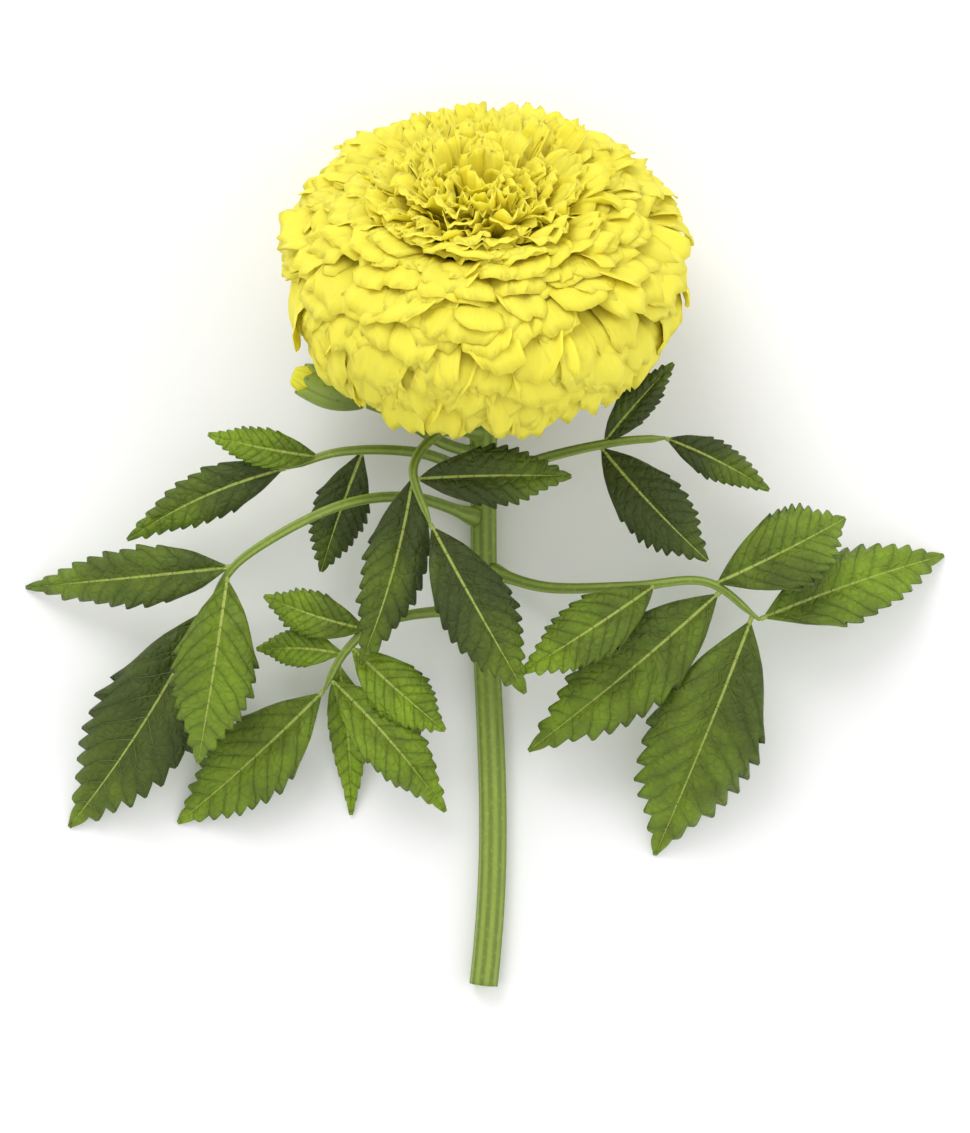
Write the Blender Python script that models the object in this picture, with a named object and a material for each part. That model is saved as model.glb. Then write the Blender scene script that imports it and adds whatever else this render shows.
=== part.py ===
"""African marigold flower as picked: one double bloom on its cut stem, with its pinnate leaves and one side bud,
lying on a flat surface. The stem lies flat and its neck bends up, so the bloom leans back on the rim of its skirt.

Lengths are in millimetres and angles in degrees until a mesh is made. The bloom has a frame of its own, whose h axis
runs up through the middle of the flower and whose h = 0 is the plane where the flower is widest.
"""

import math

import bmesh
import bpy
import numpy as np

MM = 0.001

# The bloom: where the middle of its widest plane is, and how far its axis leans up from level.
HEAD = (-0.3, 68.5, 45.9)
HEAD_TILT = 44.0
BLOOM_RADIUS = 49.0
DOME_HEIGHT = 27.0
SKIRT_DEPTH = 42.0
DIMPLE_DEPTH = 2.5
DIMPLE_RADIUS = 9.0

# Ray florets: rings of them, nested, each joined at its foot. Angles are measured from the h axis at the receptacle.
WHORLS = 10
SKIRT_TIP_ANGLE = 86.0
CENTRE_TIP_ANGLE = 8.0
SKIRT_FOOT_ANGLE = 50.0
CENTRE_FOOT_ANGLE = 7.0
FLORET_CURL = 2.4
FLORET_WIDTH = 18.0
FEWEST_FLORETS = 6
NOTCH = 0.16
FOOT_THICKNESS = 0.4
TIP_THICKNESS = 1.5
FOOT_RADIUS = 8.5

# Receptacle and the green cup of fused bracts around it.
RECEPTACLE_H = -25.0
RECEPTACLE_RADIUS = 8.1
RECEPTACLE_BASE_H = -36.8
CUP_BASE_H = -40.0
CUP_WALL = 0.8
CUP_TEETH = 8
CUP_TOOTH_HEIGHT = 1.6

# Stem: a neck that bends from the bloom's lean to level, then a run along the surface to the cut.
STEM_TOP_RADIUS = 4.3
STEM_RADIUS = 3.2
STEM_CUT_RADIUS = 3.6
NECK_SWELL = 26.0
STEM_CUT_Y = -176.0
STEM_BOW = 4.0
STEM_SIDES = 10
CLEARANCE = 0.3
SEAT_GAP = 0.7

LEAFLET_THICKNESS = 0.7
LEAFLET_STATIONS = 8
LEAFLET_LEAST_HALF_WIDTH = 0.6
STALK_RADIUS = (1.5, 0.9)

# Each leaf: where its stalk leaves the stem, as a y from the bloom's middle; the stalk's points, x and y from the
# bloom's middle and z above the surface; then its leaflets, each with the share of the stalk where it sits, its
# tip, its width, how high it arches and how far it rolls sideways.
LEAVES = {
    "right": (
        -74,
        [(16, -78, 17), (36, -78, 27), (54, -77, 28), (67, -86, 24)],
        [
            ("terminal", 1.0, (114.5, -69.5, 0.6), 18, 5, 8),
            ("upper_outer", 0.78, (88.5, -61.0, 18), 20, 7, 10),
            ("lower_outer", 0.97, (42.5, -144, 0.6), 28, 8, 10),
            ("lower_inner", 0.82, (11, -118, 14), 21, 6, -8),
            ("inner", 0.58, (9, -99, 30), 15, 7, -4),
        ],
    ),
    "left": (
        -60,
        [(-18, -56, 19), (-36, -59, 31), (-58, -71, 29), (-67, -82, 20)],
        [
            ("outer", 0.80, (-114, -77.5, 0.6), 14, 6, 8),
            ("terminal", 1.0, (-103, -137, 0.6), 26, 5, -8),
            ("inner", 0.84, (-70, -121, 16), 20, 11, 0),
        ],
    ),
    "lower_left": (
        -84,
        [(-13, -84, 14), (-26, -87, 20), (-34, -94, 20), (-39, -103, 16)],
        [
            ("terminal", 1.0, (-76, -136, 0.6), 20, 3, -6),
            ("inner", 0.93, (-9.5, -133, 9), 15, 8, 8),
            ("upper_inner", 0.70, (-9.5, -113, 19), 14, 4, 6),
            ("upper_outer", 0.56, (-54, -80, 13), 11, 5, 5),
            ("outer", 0.76, (-56, -93, 10), 9, 2, 5),
            ("lower", 0.82, (-33, -134, 1), 9, -2, 0),
        ],
    ),
    "centre": (
        -38,
        [(-11, -41, 27), (-17, -50, 36), (-13, -63, 38)],
        [
            ("terminal", 1.0, (10, -104, 33), 18, 5, 8),
            ("left", 0.70, (-30, -97, 26), 15, 2, -6),
            ("right", 0.74, (21, -52, 40), 14, 4, 6),
        ],
    ),
    "upper_left": (
        -49,
        [(-16, -45, 18), (-34, -45, 24), (-48, -49, 23)],
        [
            ("terminal", 1.0, (-88, -66, 10), 12, 5, 6),
            ("lower", 0.58, (-40, -74, 14), 13, 1, 6),
            ("upper", 0.80, (-67, -41, 27), 9, 3, 5),
        ],
    ),
    "upper_right": (
        -50,
        [(16, -46, 19), (32, -43, 28), (44, -42, 28)],
        [
            ("terminal", 1.0, (70, -54, 16), 9, 4, 4),
            ("upper", 0.60, (46, -24, 30), 8, 3, 4),
            ("lower", 0.58, (54, -72, 33), 16, 4, -6),
        ],
    ),
}

# Side bud on its own short stalk, seated on the stem like a leaf.
BUD_JOINS_Y = -44
BUD_STALK = [(-11, -42, 16), (-21, -36, 21), (-29, -33, 23)]
BUD_STALK_RADIUS = (1.5, 1.3)
BUD_LENGTH = 15.0
BUD_RADIUS = 5.0
BUD_TIP_LENGTH = 4.0


def clear_scene():
    for thing in list(bpy.data.objects):
        bpy.data.objects.remove(thing, do_unlink=True)


def material(name, colour, roughness):
    made = bpy.data.materials.new(name)
    made.use_nodes = True
    shader = made.node_tree.nodes["Principled BSDF"]
    shader.inputs["Base Color"].default_value = (*colour, 1.0)
    shader.inputs["Roughness"].default_value = roughness
    shader.inputs["Metallic"].default_value = 0.0
    return made


def add_object(name, points, faces, finish, parent=None):
    """A named object from points in millimetres, with its faces turned outwards."""
    mesh = bpy.data.meshes.new(name)
    mesh.from_pydata((np.asarray(points) * MM).tolist(), [], faces)
    shape = bmesh.new()
    shape.from_mesh(mesh)
    bmesh.ops.recalc_face_normals(shape, faces=shape.faces)
    bmesh.ops.triangulate(shape, faces=shape.faces)
    shape.to_mesh(mesh)
    shape.free()
    mesh.shade_smooth()
    mesh.set_sharp_from_angle(angle=math.radians(50))
    mesh.materials.append(material(name, *finish))
    made = bpy.data.objects.new(name, mesh)
    bpy.context.collection.objects.link(made)
    made.parent = parent
    return made


def strip_faces(rows, columns, start, closed):
    """Quads between neighbouring rows of points; closed joins the last column to the first."""
    last = columns if closed else columns - 1
    return [
        (
            start + i * columns + j,
            start + i * columns + (j + 1) % columns,
            start + (i + 1) * columns + (j + 1) % columns,
            start + (i + 1) * columns + j,
        )
        for i in range(rows - 1)
        for j in range(last)
    ]


def turned(name, profile, sides, finish, parent):
    """A profile of (radius, h) points turned about the h axis, with flat ends where it starts and stops."""
    angles = 2 * math.pi * np.arange(sides) / sides
    points = [
        (radius * math.cos(a), radius * math.sin(a), h) for radius, h in profile for a in angles
    ]
    faces = strip_faces(len(profile), sides, 0, True)
    faces.append(tuple(range(sides)))
    faces.append(tuple(range(len(points) - sides, len(points))))
    return add_object(name, points, faces, finish, parent)


def smooth_path(knots, count):
    """Points evenly spread in parameter along a Catmull-Rom curve through the knots."""
    knots = np.asarray(knots, float)
    ends = np.vstack([2 * knots[0] - knots[1], knots, 2 * knots[-1] - knots[-2]])
    along = np.linspace(0, len(knots) - 1, count)
    span = np.minimum(along.astype(int), len(knots) - 2)
    t = (along - span)[:, None]
    a, b, c, d = (ends[span + k] for k in range(4))
    return 0.5 * (
        2 * b + (c - a) * t + (2 * a - 5 * b + 4 * c - d) * t**2 + (3 * b - a - 3 * c + d) * t**3
    )


def tube(name, path, radii, sides, finish, parent=None):
    """A round rod along a path, with level-turned rings and flat ends."""
    path = np.asarray(path, float)
    ahead = np.gradient(path, axis=0)
    ahead /= np.linalg.norm(ahead, axis=1)[:, None]
    side = np.cross(ahead, (0.0, 0.0, 1.0))
    side /= np.linalg.norm(side, axis=1)[:, None]
    up = np.cross(side, ahead)
    angles = 2 * math.pi * np.arange(sides) / sides
    rings = (
        path[:, None]
        + np.asarray(radii)[:, None, None]
        * (np.cos(angles)[None, :, None] * side[:, None] + np.sin(angles)[None, :, None] * up[:, None])
    )
    faces = strip_faces(len(path), sides, 0, True)
    faces.append(tuple(range(sides)))
    faces.append(tuple(range((len(path) - 1) * sides, len(path) * sides)))
    return add_object(name, rings.reshape(-1, 3), faces, finish, parent)


def envelope_radius(angle):
    """Distance from the receptacle to the bloom's outer surface, at an angle from the h axis."""
    turn = np.radians(np.linspace(0, 140, 141))
    rho = BLOOM_RADIUS * np.sin(turn)
    h = np.where(turn < math.pi / 2, DOME_HEIGHT, SKIRT_DEPTH) * np.cos(turn)
    h = h - DIMPLE_DEPTH * np.exp(-((rho / DIMPLE_RADIUS) ** 2))
    seen = np.degrees(np.arctan2(rho, h - RECEPTACLE_H))
    return np.interp(angle, seen, np.hypot(rho, h - RECEPTACLE_H))


def floret_whorl(name, rank, finish, head):
    """One ring of ray florets. Each leaves the receptacle, rises and curls outwards along the bloom's surface.

    Along a floret, s goes from 0 at the foot to 1 at the tip: the distance from the receptacle grows evenly with s
    and the angle from the axis with a power of s, so that neighbouring rings never cross.
    """
    tip_angle = SKIRT_TIP_ANGLE + (CENTRE_TIP_ANGLE - SKIRT_TIP_ANGLE) * rank
    foot_angle = SKIRT_FOOT_ANGLE + (CENTRE_FOOT_ANGLE - SKIRT_FOOT_ANGLE) * rank
    girth = 2 * math.pi * envelope_radius(tip_angle) * math.sin(math.radians(tip_angle))
    florets = max(FEWEST_FLORETS, round(girth / FLORET_WIDTH))
    per_floret = 3
    count = florets * per_floret
    turn = 2 * math.pi * (np.arange(count) / count + rank * WHORLS / (2 * florets))
    reach = np.where(np.arange(count) % per_floret == 0, 1 - NOTCH, 1.0)
    s = np.array([0.0, 0.5, 0.82, 1.0])[:, None] * reach[None, :]
    angle = foot_angle + (tip_angle - foot_angle) * s**FLORET_CURL
    distance = FOOT_RADIUS + (envelope_radius(angle) - FOOT_RADIUS) * s
    rho = distance * np.sin(np.radians(angle))
    h = RECEPTACLE_H + distance * np.cos(np.radians(angle))
    along_rho, along_h = np.gradient(rho, axis=0), np.gradient(h, axis=0)
    length = np.hypot(along_rho, along_h)
    half = (FOOT_THICKNESS + (TIP_THICKNESS - FOOT_THICKNESS) * s) / 2
    layers = []
    for face in (1, -1):
        r = rho - face * half * along_h / length
        z = h + face * half * along_rho / length
        layers.append(np.stack([r * np.cos(turn), r * np.sin(turn), z], axis=-1))
    loop = np.concatenate([layers[0], layers[1][::-1], layers[0][:1]])[:-1]
    rows = len(loop)
    faces = strip_faces(rows, count, 0, True)
    top = (rows - 1) * count
    faces += [(top + j, top + (j + 1) % count, (j + 1) % count, j) for j in range(count)]
    return add_object(name, loop.reshape(-1, 3), faces, finish, head)


def involucre(finish, head):
    """The cup of fused bracts: a swollen bell with a thin wall and a toothed mouth, closed at its base."""
    outer = [(4.6, CUP_BASE_H), (8.6, -37.5), (10.6, -33.0), (11.4, -27.0), (11.5, -21.5), (11.7, -19.0)]
    inner = [(r - CUP_WALL, h) for r, h in outer[:0:-1]] + [(4.0, CUP_BASE_H + 2.2)]
    sides = 2 * CUP_TEETH
    angles = 2 * math.pi * np.arange(sides) / sides
    tooth = CUP_TOOTH_HEIGHT * (np.arange(sides) % 2)
    mouth = outer[-1][1]
    points = [
        (r * math.cos(a), r * math.sin(a), h + (lift if h == mouth else 0.0))
        for r, h in outer + inner
        for a, lift in zip(angles, tooth)
    ]
    faces = strip_faces(len(outer + inner), sides, 0, True)
    faces.append(tuple(range(sides)))
    faces.append(tuple(range(len(points) - sides, len(points))))
    return add_object("involucre", points, faces, finish, head)


def receptacle(finish, head):
    """The rounded seat that carries every floret, tapering down inside the cup."""
    arc = np.radians(np.linspace(12, 90, 6))
    profile = [
        (RECEPTACLE_RADIUS * math.sin(a), RECEPTACLE_H + RECEPTACLE_RADIUS * math.cos(a)) for a in arc
    ]
    profile += [(RECEPTACLE_RADIUS, -31.0), (4.2, RECEPTACLE_BASE_H)]
    return turned("receptacle", profile, 16, finish, head)


def from_bloom(points):
    """Places given from the bloom's middle in plan, with z above the surface."""
    return np.asarray(points, float) + (HEAD[0], HEAD[1], 0.0)


def stem_path():
    """The neck's arc, from the foot of the cup down to level, then the run to the cut with a slight bow."""
    lean = math.radians(HEAD_TILT)
    reach = -CUP_BASE_H + CLEARANCE
    top_y, top_z = -reach * math.cos(lean), HEAD[2] - reach * math.sin(lean)
    level_z = STEM_CUT_RADIUS * math.cos(math.pi / STEM_SIDES)
    bend = (top_z - level_z) / (1 - math.cos(lean))
    neck = [
        (0.0, top_y - bend * (math.sin(lean) - math.sin(a)), level_z + bend * (1 - math.cos(a)))
        for a in np.linspace(lean, 0, 10)
    ]
    start = neck[-1][1]
    run = [
        (STEM_BOW * math.sin(math.pi * share) * share, start + (STEM_CUT_Y - start) * share, level_z)
        for share in np.linspace(0, 1, 12)[1:]
    ]
    return from_bloom(neck + run)


def stem_radii(path):
    """The stem's radius at each point: swollen under the bloom, slim in the middle and stouter at the cut."""
    gone = np.concatenate([[0], np.cumsum(np.linalg.norm(np.diff(path, axis=0), axis=1))])
    swell = np.clip(1 - gone / NECK_SWELL, 0, 1) ** 2
    slim = STEM_RADIUS + (STEM_CUT_RADIUS - STEM_RADIUS) * gone / gone[-1]
    return slim + (STEM_TOP_RADIUS - slim) * swell


def stem(finish):
    path = stem_path()
    return tube("stem", path, stem_radii(path), STEM_SIDES, finish)


def seated_on_stem(joins_y, knots, count):
    """A stalk's path that starts on the stem's side, a small gap off it, and goes on through its own knots."""
    path = stem_path()
    y = HEAD[1] + joins_y
    order = np.argsort(path[:, 1])
    centre = np.array([np.interp(y, path[order, 1], path[order, k]) for k in range(3)])
    radius = np.interp(y, path[order, 1], stem_radii(path)[order])
    knots = from_bloom(knots)
    ahead = path[np.argmin(abs(path[:, 1] - y)) + 1] - centre
    ahead /= np.linalg.norm(ahead)
    out = knots[0] - centre
    out -= ahead * (out @ ahead)
    out /= np.linalg.norm(out)
    return smooth_path(np.vstack([centre + out * (radius + SEAT_GAP), knots]), count)


def leaflet(name, root, tip, width, arch, roll, finish):
    """A thin lance-shaped blade on an arched midrib, slightly folded up along it."""
    root, tip = np.asarray(root, float), np.asarray(tip, float)
    u = np.linspace(0, 1, LEAFLET_STATIONS)[:, None]
    spine = root + (tip - root) * u + np.array([0, 0, 4.0 * arch]) * u * (1 - u)
    ahead = np.gradient(spine, axis=0)
    ahead /= np.linalg.norm(ahead, axis=1)[:, None]
    level = np.cross(ahead, (0.0, 0.0, 1.0))
    level /= np.linalg.norm(level, axis=1)[:, None]
    above = np.cross(level, ahead)
    turn = math.radians(roll)
    side = math.cos(turn) * level + math.sin(turn) * above
    normal = np.cross(side, ahead)
    half = 0.5 * width * np.clip(1 - (2 * u**0.8 - 1) ** 2, 0, 1) ** 0.8
    half = half + LEAFLET_LEAST_HALF_WIDTH
    fold = 0.12
    edges = [spine + v * half * side + abs(v) * fold * half * normal for v in (-1, 0, 1)]
    top = [edge + normal * LEAFLET_THICKNESS / 2 for edge in edges]
    bottom = [edge - normal * LEAFLET_THICKNESS / 2 for edge in edges]
    ring = np.stack(top + bottom[::-1], axis=1)
    columns = ring.shape[1]
    faces = strip_faces(LEAFLET_STATIONS, columns, 0, True)
    last = (LEAFLET_STATIONS - 1) * columns
    for start in (0, last):
        faces += [(start, start + 1, start + 4, start + 5), (start + 1, start + 2, start + 3, start + 4)]
    return add_object(name, ring.reshape(-1, 3), faces, finish)


def leaflet_root(stalk, share, tip):
    """Where a leaflet starts: off the stalk's end for the terminal one, and off its side for the others."""
    index = round(share * (len(stalk) - 1))
    place = stalk[index]
    ahead = stalk[min(index + 1, len(stalk) - 1)] - stalk[index - 1]
    ahead /= np.linalg.norm(ahead)
    if share == 1.0:
        return place + ahead * (CLEARANCE + LEAFLET_LEAST_HALF_WIDTH)
    out = tip - place
    out -= ahead * (out @ ahead)
    out /= np.linalg.norm(out)
    radius = np.interp(share, (0, 1), STALK_RADIUS)
    return place + out * (radius + SEAT_GAP + LEAFLET_LEAST_HALF_WIDTH / 2)


def leaf(name, joins_y, knots, leaflets, stalk_finish, blade_finish):
    """A pinnate leaf: its stalk, and a blade seated beside it for each leaflet."""
    stalk = seated_on_stem(joins_y, knots, 10)
    tube(f"leaf_{name}_stalk", stalk, np.linspace(*STALK_RADIUS, len(stalk)), 6, stalk_finish)
    fine = seated_on_stem(joins_y, knots, 200)
    for label, share, tip, width, arch, roll in leaflets:
        end = from_bloom(tip)
        root = leaflet_root(fine, share, end)
        leaflet(f"leaf_{name}_{label}", root, end, width, arch, roll, blade_finish)


def bud(stalk_finish, cup_finish, tip_finish):
    """A closed side bud: stalk, green cup and the yellow tips that just show at its mouth."""
    stalk = seated_on_stem(BUD_JOINS_Y, BUD_STALK, 8)
    tube("bud_stalk", stalk, np.linspace(*BUD_STALK_RADIUS, len(stalk)), 6, stalk_finish)
    ahead = stalk[-1] - stalk[-2]
    ahead /= np.linalg.norm(ahead)
    share = np.linspace(0, 1, 7)
    swell = 1.8 + (BUD_RADIUS - 1.8) * np.sin(math.pi * share * 0.62) ** 0.8
    base = stalk[-1] + ahead * CLEARANCE
    tube("bud_cup", base + np.outer(share * BUD_LENGTH, ahead), swell, 10, cup_finish)
    base = base + ahead * (BUD_LENGTH + CLEARANCE)
    rounding = np.array([3.9, 3.7, 2.9, 1.2])
    along = np.array([0.0, 0.4, 0.75, 1.0]) * BUD_TIP_LENGTH
    tube("bud_petals", base + np.outer(along, ahead), rounding, 10, tip_finish)


def main():
    clear_scene()
    head = bpy.data.objects.new("head_axis", None)
    bpy.context.collection.objects.link(head)
    head.location = [v * MM for v in HEAD]
    head.rotation_euler = (math.radians(HEAD_TILT - 90.0), 0.0, 0.0)

    petal = ((0.87, 0.80, 0.05), 0.6)
    green = ((0.16, 0.27, 0.05), 0.55)
    pale_green = ((0.30, 0.38, 0.07), 0.5)
    cream = ((0.72, 0.75, 0.42), 0.7)

    for number in range(WHORLS):
        rank = number / (WHORLS - 1)
        floret_whorl(f"floret_whorl_{number + 1:02d}", rank, petal, head)
    receptacle(cream, head)
    involucre(pale_green, head)
    stem(pale_green)
    for name, (joins_y, knots, leaflets) in LEAVES.items():
        leaf(name, joins_y, knots, leaflets, pale_green, green)
    bud(pale_green, pale_green, petal)
    bpy.context.view_layer.update()


main()
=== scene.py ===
"""African marigold flower as picked, lying on a pale surface: finished florets, leaves, stem, cup and bud.

Lengths in the code are millimetres and become metres when a mesh is made; the panel's are Blender lengths.
The bloom has a frame of its own: its h axis runs up through the middle, and h = 0 is its widest plane.
"""

import math

import bpy
import numpy as np
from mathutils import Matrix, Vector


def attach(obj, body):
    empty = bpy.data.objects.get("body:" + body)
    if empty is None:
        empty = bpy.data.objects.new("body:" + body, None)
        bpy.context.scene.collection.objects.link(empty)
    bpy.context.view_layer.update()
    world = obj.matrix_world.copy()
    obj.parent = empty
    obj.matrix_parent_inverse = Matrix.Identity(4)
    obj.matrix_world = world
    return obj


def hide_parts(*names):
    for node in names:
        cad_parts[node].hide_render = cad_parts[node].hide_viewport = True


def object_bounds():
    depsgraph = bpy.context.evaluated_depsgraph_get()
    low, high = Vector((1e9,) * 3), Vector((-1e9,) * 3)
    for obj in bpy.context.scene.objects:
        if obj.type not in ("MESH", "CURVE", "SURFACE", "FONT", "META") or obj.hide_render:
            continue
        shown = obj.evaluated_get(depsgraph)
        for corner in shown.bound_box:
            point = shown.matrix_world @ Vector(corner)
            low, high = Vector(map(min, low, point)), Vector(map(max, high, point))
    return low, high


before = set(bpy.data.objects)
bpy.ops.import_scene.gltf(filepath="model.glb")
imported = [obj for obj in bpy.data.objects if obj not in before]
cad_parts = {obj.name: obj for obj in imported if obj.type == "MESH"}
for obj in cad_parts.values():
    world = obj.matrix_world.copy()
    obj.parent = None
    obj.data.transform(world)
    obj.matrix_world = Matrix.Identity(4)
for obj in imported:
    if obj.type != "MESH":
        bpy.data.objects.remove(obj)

CAD_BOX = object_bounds()
MM = 0.001
BODY = "root"

bl_info = {
    "name": "African Marigold",
    "version": (1, 0, 0),
    "blender": (4, 5, 0),
    "location": "View3D > Sidebar > Marigold",
    "description": "A picked double marigold with its leaves, built from formula surfaces",
    "category": "Add Mesh",
}

# The bloom's place and lean, as in the frame. Angles in degrees open from the h axis at the receptacle.
HEAD = np.array((-0.3, 68.5, 45.9))
HEAD_TILT = math.radians(44.0)
RECEPTACLE_H = -25.0
FOOT_RADIUS = 8.2
SKIRT_TIP_ANGLE, CENTRE_TIP_ANGLE = 86.0, 8.0
SKIRT_FOOT_ANGLE, CENTRE_FOOT_ANGLE = 50.0, 7.0
WHORLS = 10
GOLDEN_ANGLE = math.pi * (3 - math.sqrt(5))
VEIN_OFFSET = 0.2
DIMPLE_REACH = 9.0

# Florets stay small up to an angle and reach full size over a blend. The folded kind goes up to an angle
# that swings round the bloom, and blends into the flat kind. Past a third angle they hang.
SMALL_UP_TO, SMALL_BLEND = 26.0, 34.0
FOLDED_UP_TO, FOLDED_SWING, FOLDED_BLEND = 46.0, 8.0, 22.0
HANGING_FROM, HANGING_BLEND = 70.0, 14.0
# How far a floret's tip strays, in degrees, and how much less it does for the folded and the hanging kind.
TIP_JITTER, FOLDED_STEADIER, HANGING_STEADIER = 6.2, 3.0, 3.2

# What each floret draws at random, in this order, as least and greatest: its tip's share of the jitter;
# lobes and crimps as waves per half width, each with a start; how its end is cut; the power its angle
# climbs by; its reach and width as shares; its curl across; its ruffle; how far its end flares, in
# millimetres; its turns.
FULL_TURN = 6.3
FLORET_DRAWS = {
    "tip": (-1, 1),
    "lobes": (1.5, 2.6),
    "lobe_start": (0, FULL_TURN),
    "crimps": (2.6, 3.6),
    "crimp_start": (0, FULL_TURN),
    "corner": (0, 0.015),
    "lobe_depth": (0.003, 0.015),
    "point": (0, 0.03),
    "climb": (2.1, 2.7),
    "reach": (-0.04, 0.024),
    "width": (0.85, 1.16),
    "flat_curl": (-0.95, 0.45),
    "folded_curl": (-0.5, 1.9),
    "ruffle": (0.5, 1.1),
    "ripple_start": (0, FULL_TURN),
    "flat_flare": (0.2, 2.0),
    "folded_flare": (-1.2, 3.8),
    "hanging_flare": (0, 1),
    "lean": (-0.15, 0.15),
    "twist": (-0.32, 0.32),
    "folded_twist": (-0.5, 0.5),
    "turn": (-0.12, 0.12),
}

CUP_BASE_H, CUP_MOUTH_H = -40.0, -19.0
CUP_FOOT_RADIUS, CUP_SWELL, CUP_FLARE = 4.3, 7.2, 0.3
CUP_BRACTS, CUP_WALL, CUP_TOOTH = 8, 0.8, 2.6
POINTS_PER_BRACT = 12

STEM_TOP_RADIUS, STEM_RADIUS, STEM_CUT_RADIUS = 4.3, 3.2, 3.6
STEM_LEVEL_Z = STEM_CUT_RADIUS * math.cos(math.pi / 10)
NECK_SWELL = 26.0
STEM_CUT_Y = -176.0
STEM_BOW = 4.0
POINTS_PER_RIDGE = 6
RIDGE_DEPTH = 0.03
KNOT_REACH, KNOT_SWELL = 3.0, 0.10

# Each leaf: where its stalk leaves the stem, as a y from the bloom's middle; the stalk's points, x and y
# from the bloom's middle and z above the surface; then its leaflets, each with its share of the way along
# the stalk, its tip, its width, how high it arches, how far it rolls, and its tint from 0, dull, to 1,
# young and bright.
LEAVES = {
    "right": (
        -74,
        [(16, -78, 17), (36, -78, 27), (54, -77, 28), (67, -86, 24)],
        ("terminal", 1.0, (114.5, -69.5, 0.6), 18, 5, 8, 0.60),
        ("upper_outer", 0.78, (88.5, -61.0, 18), 20, 7, 10, 0.55),
        ("lower_outer", 0.97, (42.5, -144, 0.6), 28, 8, 10, 0.45),
        ("lower_inner", 0.82, (11, -118, 14), 21, 6, -8, 0.40),
        ("inner", 0.58, (9, -99, 30), 15, 7, -4, 0.70),
    ),
    "left": (
        -60,
        [(-18, -56, 19), (-36, -59, 31), (-58, -71, 29), (-67, -82, 20)],
        ("outer", 0.80, (-114, -77.5, 0.6), 14, 6, 8, 0.30),
        ("terminal", 1.0, (-103, -137, 0.6), 26, 5, -8, 0.32),
        ("inner", 0.84, (-70, -121, 16), 20, 11, 0, 0.62),
    ),
    "lower_left": (
        -84,
        [(-13, -84, 14), (-26, -87, 20), (-34, -94, 20), (-39, -103, 16)],
        ("terminal", 1.0, (-76, -136, 0.6), 20, 3, -6, 0.66),
        ("inner", 0.93, (-9.5, -133, 9), 15, 8, 8, 0.85),
        ("upper_inner", 0.70, (-9.5, -113, 19), 14, 4, 6, 0.80),
        ("upper_outer", 0.56, (-54, -80, 13), 11, 5, 5, 0.70),
        ("outer", 0.76, (-56, -93, 10), 9, 2, 5, 0.85),
        ("lower", 0.82, (-33, -134, 1), 9, -2, 0, 0.95),
    ),
    "centre": (
        -38,
        [(-11, -41, 27), (-17, -50, 36), (-13, -63, 38)],
        ("terminal", 1.0, (10, -104, 33), 18, 5, 8, 0.30),
        ("left", 0.70, (-30, -97, 26), 15, 2, -6, 0.15),
        ("right", 0.74, (21, -52, 40), 14, 4, 6, 0.35),
    ),
    "upper_left": (
        -49,
        [(-16, -45, 18), (-34, -45, 24), (-48, -49, 23)],
        ("terminal", 1.0, (-88, -66, 10), 12, 5, 6, 0.25),
        ("lower", 0.58, (-40, -74, 14), 13, 1, 6, 0.10),
        ("upper", 0.80, (-67, -41, 27), 9, 3, 5, 0.75),
    ),
    "upper_right": (
        -50,
        [(16, -46, 19), (32, -43, 28), (44, -42, 28)],
        ("terminal", 1.0, (70, -54, 16), 9, 4, 4, 0.15),
        ("upper", 0.60, (46, -24, 30), 8, 3, 4, 0.20),
        ("lower", 0.58, (54, -72, 33), 16, 4, -6, 0.05),
    ),
}
STALK_RADIUS = (1.5, 0.9)
STALK_RIDGES = 5
STALK_COLUMNS = 16
GROOVE_DEPTH = 0.16
LEAFLET_LEAST_Z = 0.3

# What each leaflet draws at random after its teeth, in this order: its sideways bend as a share of its
# length, its twist, its fold as a share, and the waves of its margin and the swells of its blade, with
# their starts.
TOOTH_SIZES = (0.65, 1.35)
LEAFLET_DRAWS = {
    "bend": (-0.035, 0.035),
    "twist": (-0.22, 0.22),
    "fold": (0.7, 1.3),
    "waves": (1.6, 2.6),
    "wave_start": (0, FULL_TURN),
    "swells": (0.9, 1.6),
    "swell_start": (0, FULL_TURN),
    "swell_tilt": (0, FULL_TURN),
}

BUD_JOINS_Y = -44
BUD_STALK = [(-11, -42, 16), (-21, -36, 21), (-29, -33, 23)]
BUD_STALK_RADIUS = (1.5, 1.3)
BUD_LENGTH, BUD_RADIUS, BUD_FOOT_RADIUS = 15.0, 5.0, 1.6
BUD_BRACTS, BUD_WALL, BUD_TOOTH = 6, 0.35, 1.9
BUD_TIPS_RADIUS, BUD_TIPS_LENGTH, BUD_TIPS_SUNK = 3.6, 5.4, 1.5
BUD_PLEATS = 9

# The stage, in metres.
FLOOR_SIZE = 6.0
SIDE_LIGHT_SHARE = 0.3
AIM_Z = 0.02


# ---- geometry helpers


def ease(x):
    """A smooth climb from 0 to 1, flat at both ends, that holds its ends outside them."""
    x = np.clip(x, 0.0, 1.0)
    return x * x * (3 - 2 * x)


def bump(x, middle, reach):
    """A bell that is 1 at the middle and falls away over the reach."""
    return np.exp(-(((x - middle) / reach) ** 2))


def unit(vectors):
    return vectors / np.linalg.norm(vectors, axis=-1, keepdims=True)


def turns(columns):
    """Angles of evenly spread columns round a full turn."""
    return 2 * math.pi * np.arange(columns) / columns


def draw(rng, ranges, shape=None):
    """A random value, or an array of them, for each named range, drawn in the table's order."""
    return {name: rng.uniform(low, high, shape) for name, (low, high) in ranges.items()}


def from_bloom(points):
    """Places given from the bloom's middle in plan, with z above the surface."""
    return np.asarray(points, float) + (HEAD[0], HEAD[1], 0.0)


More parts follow.
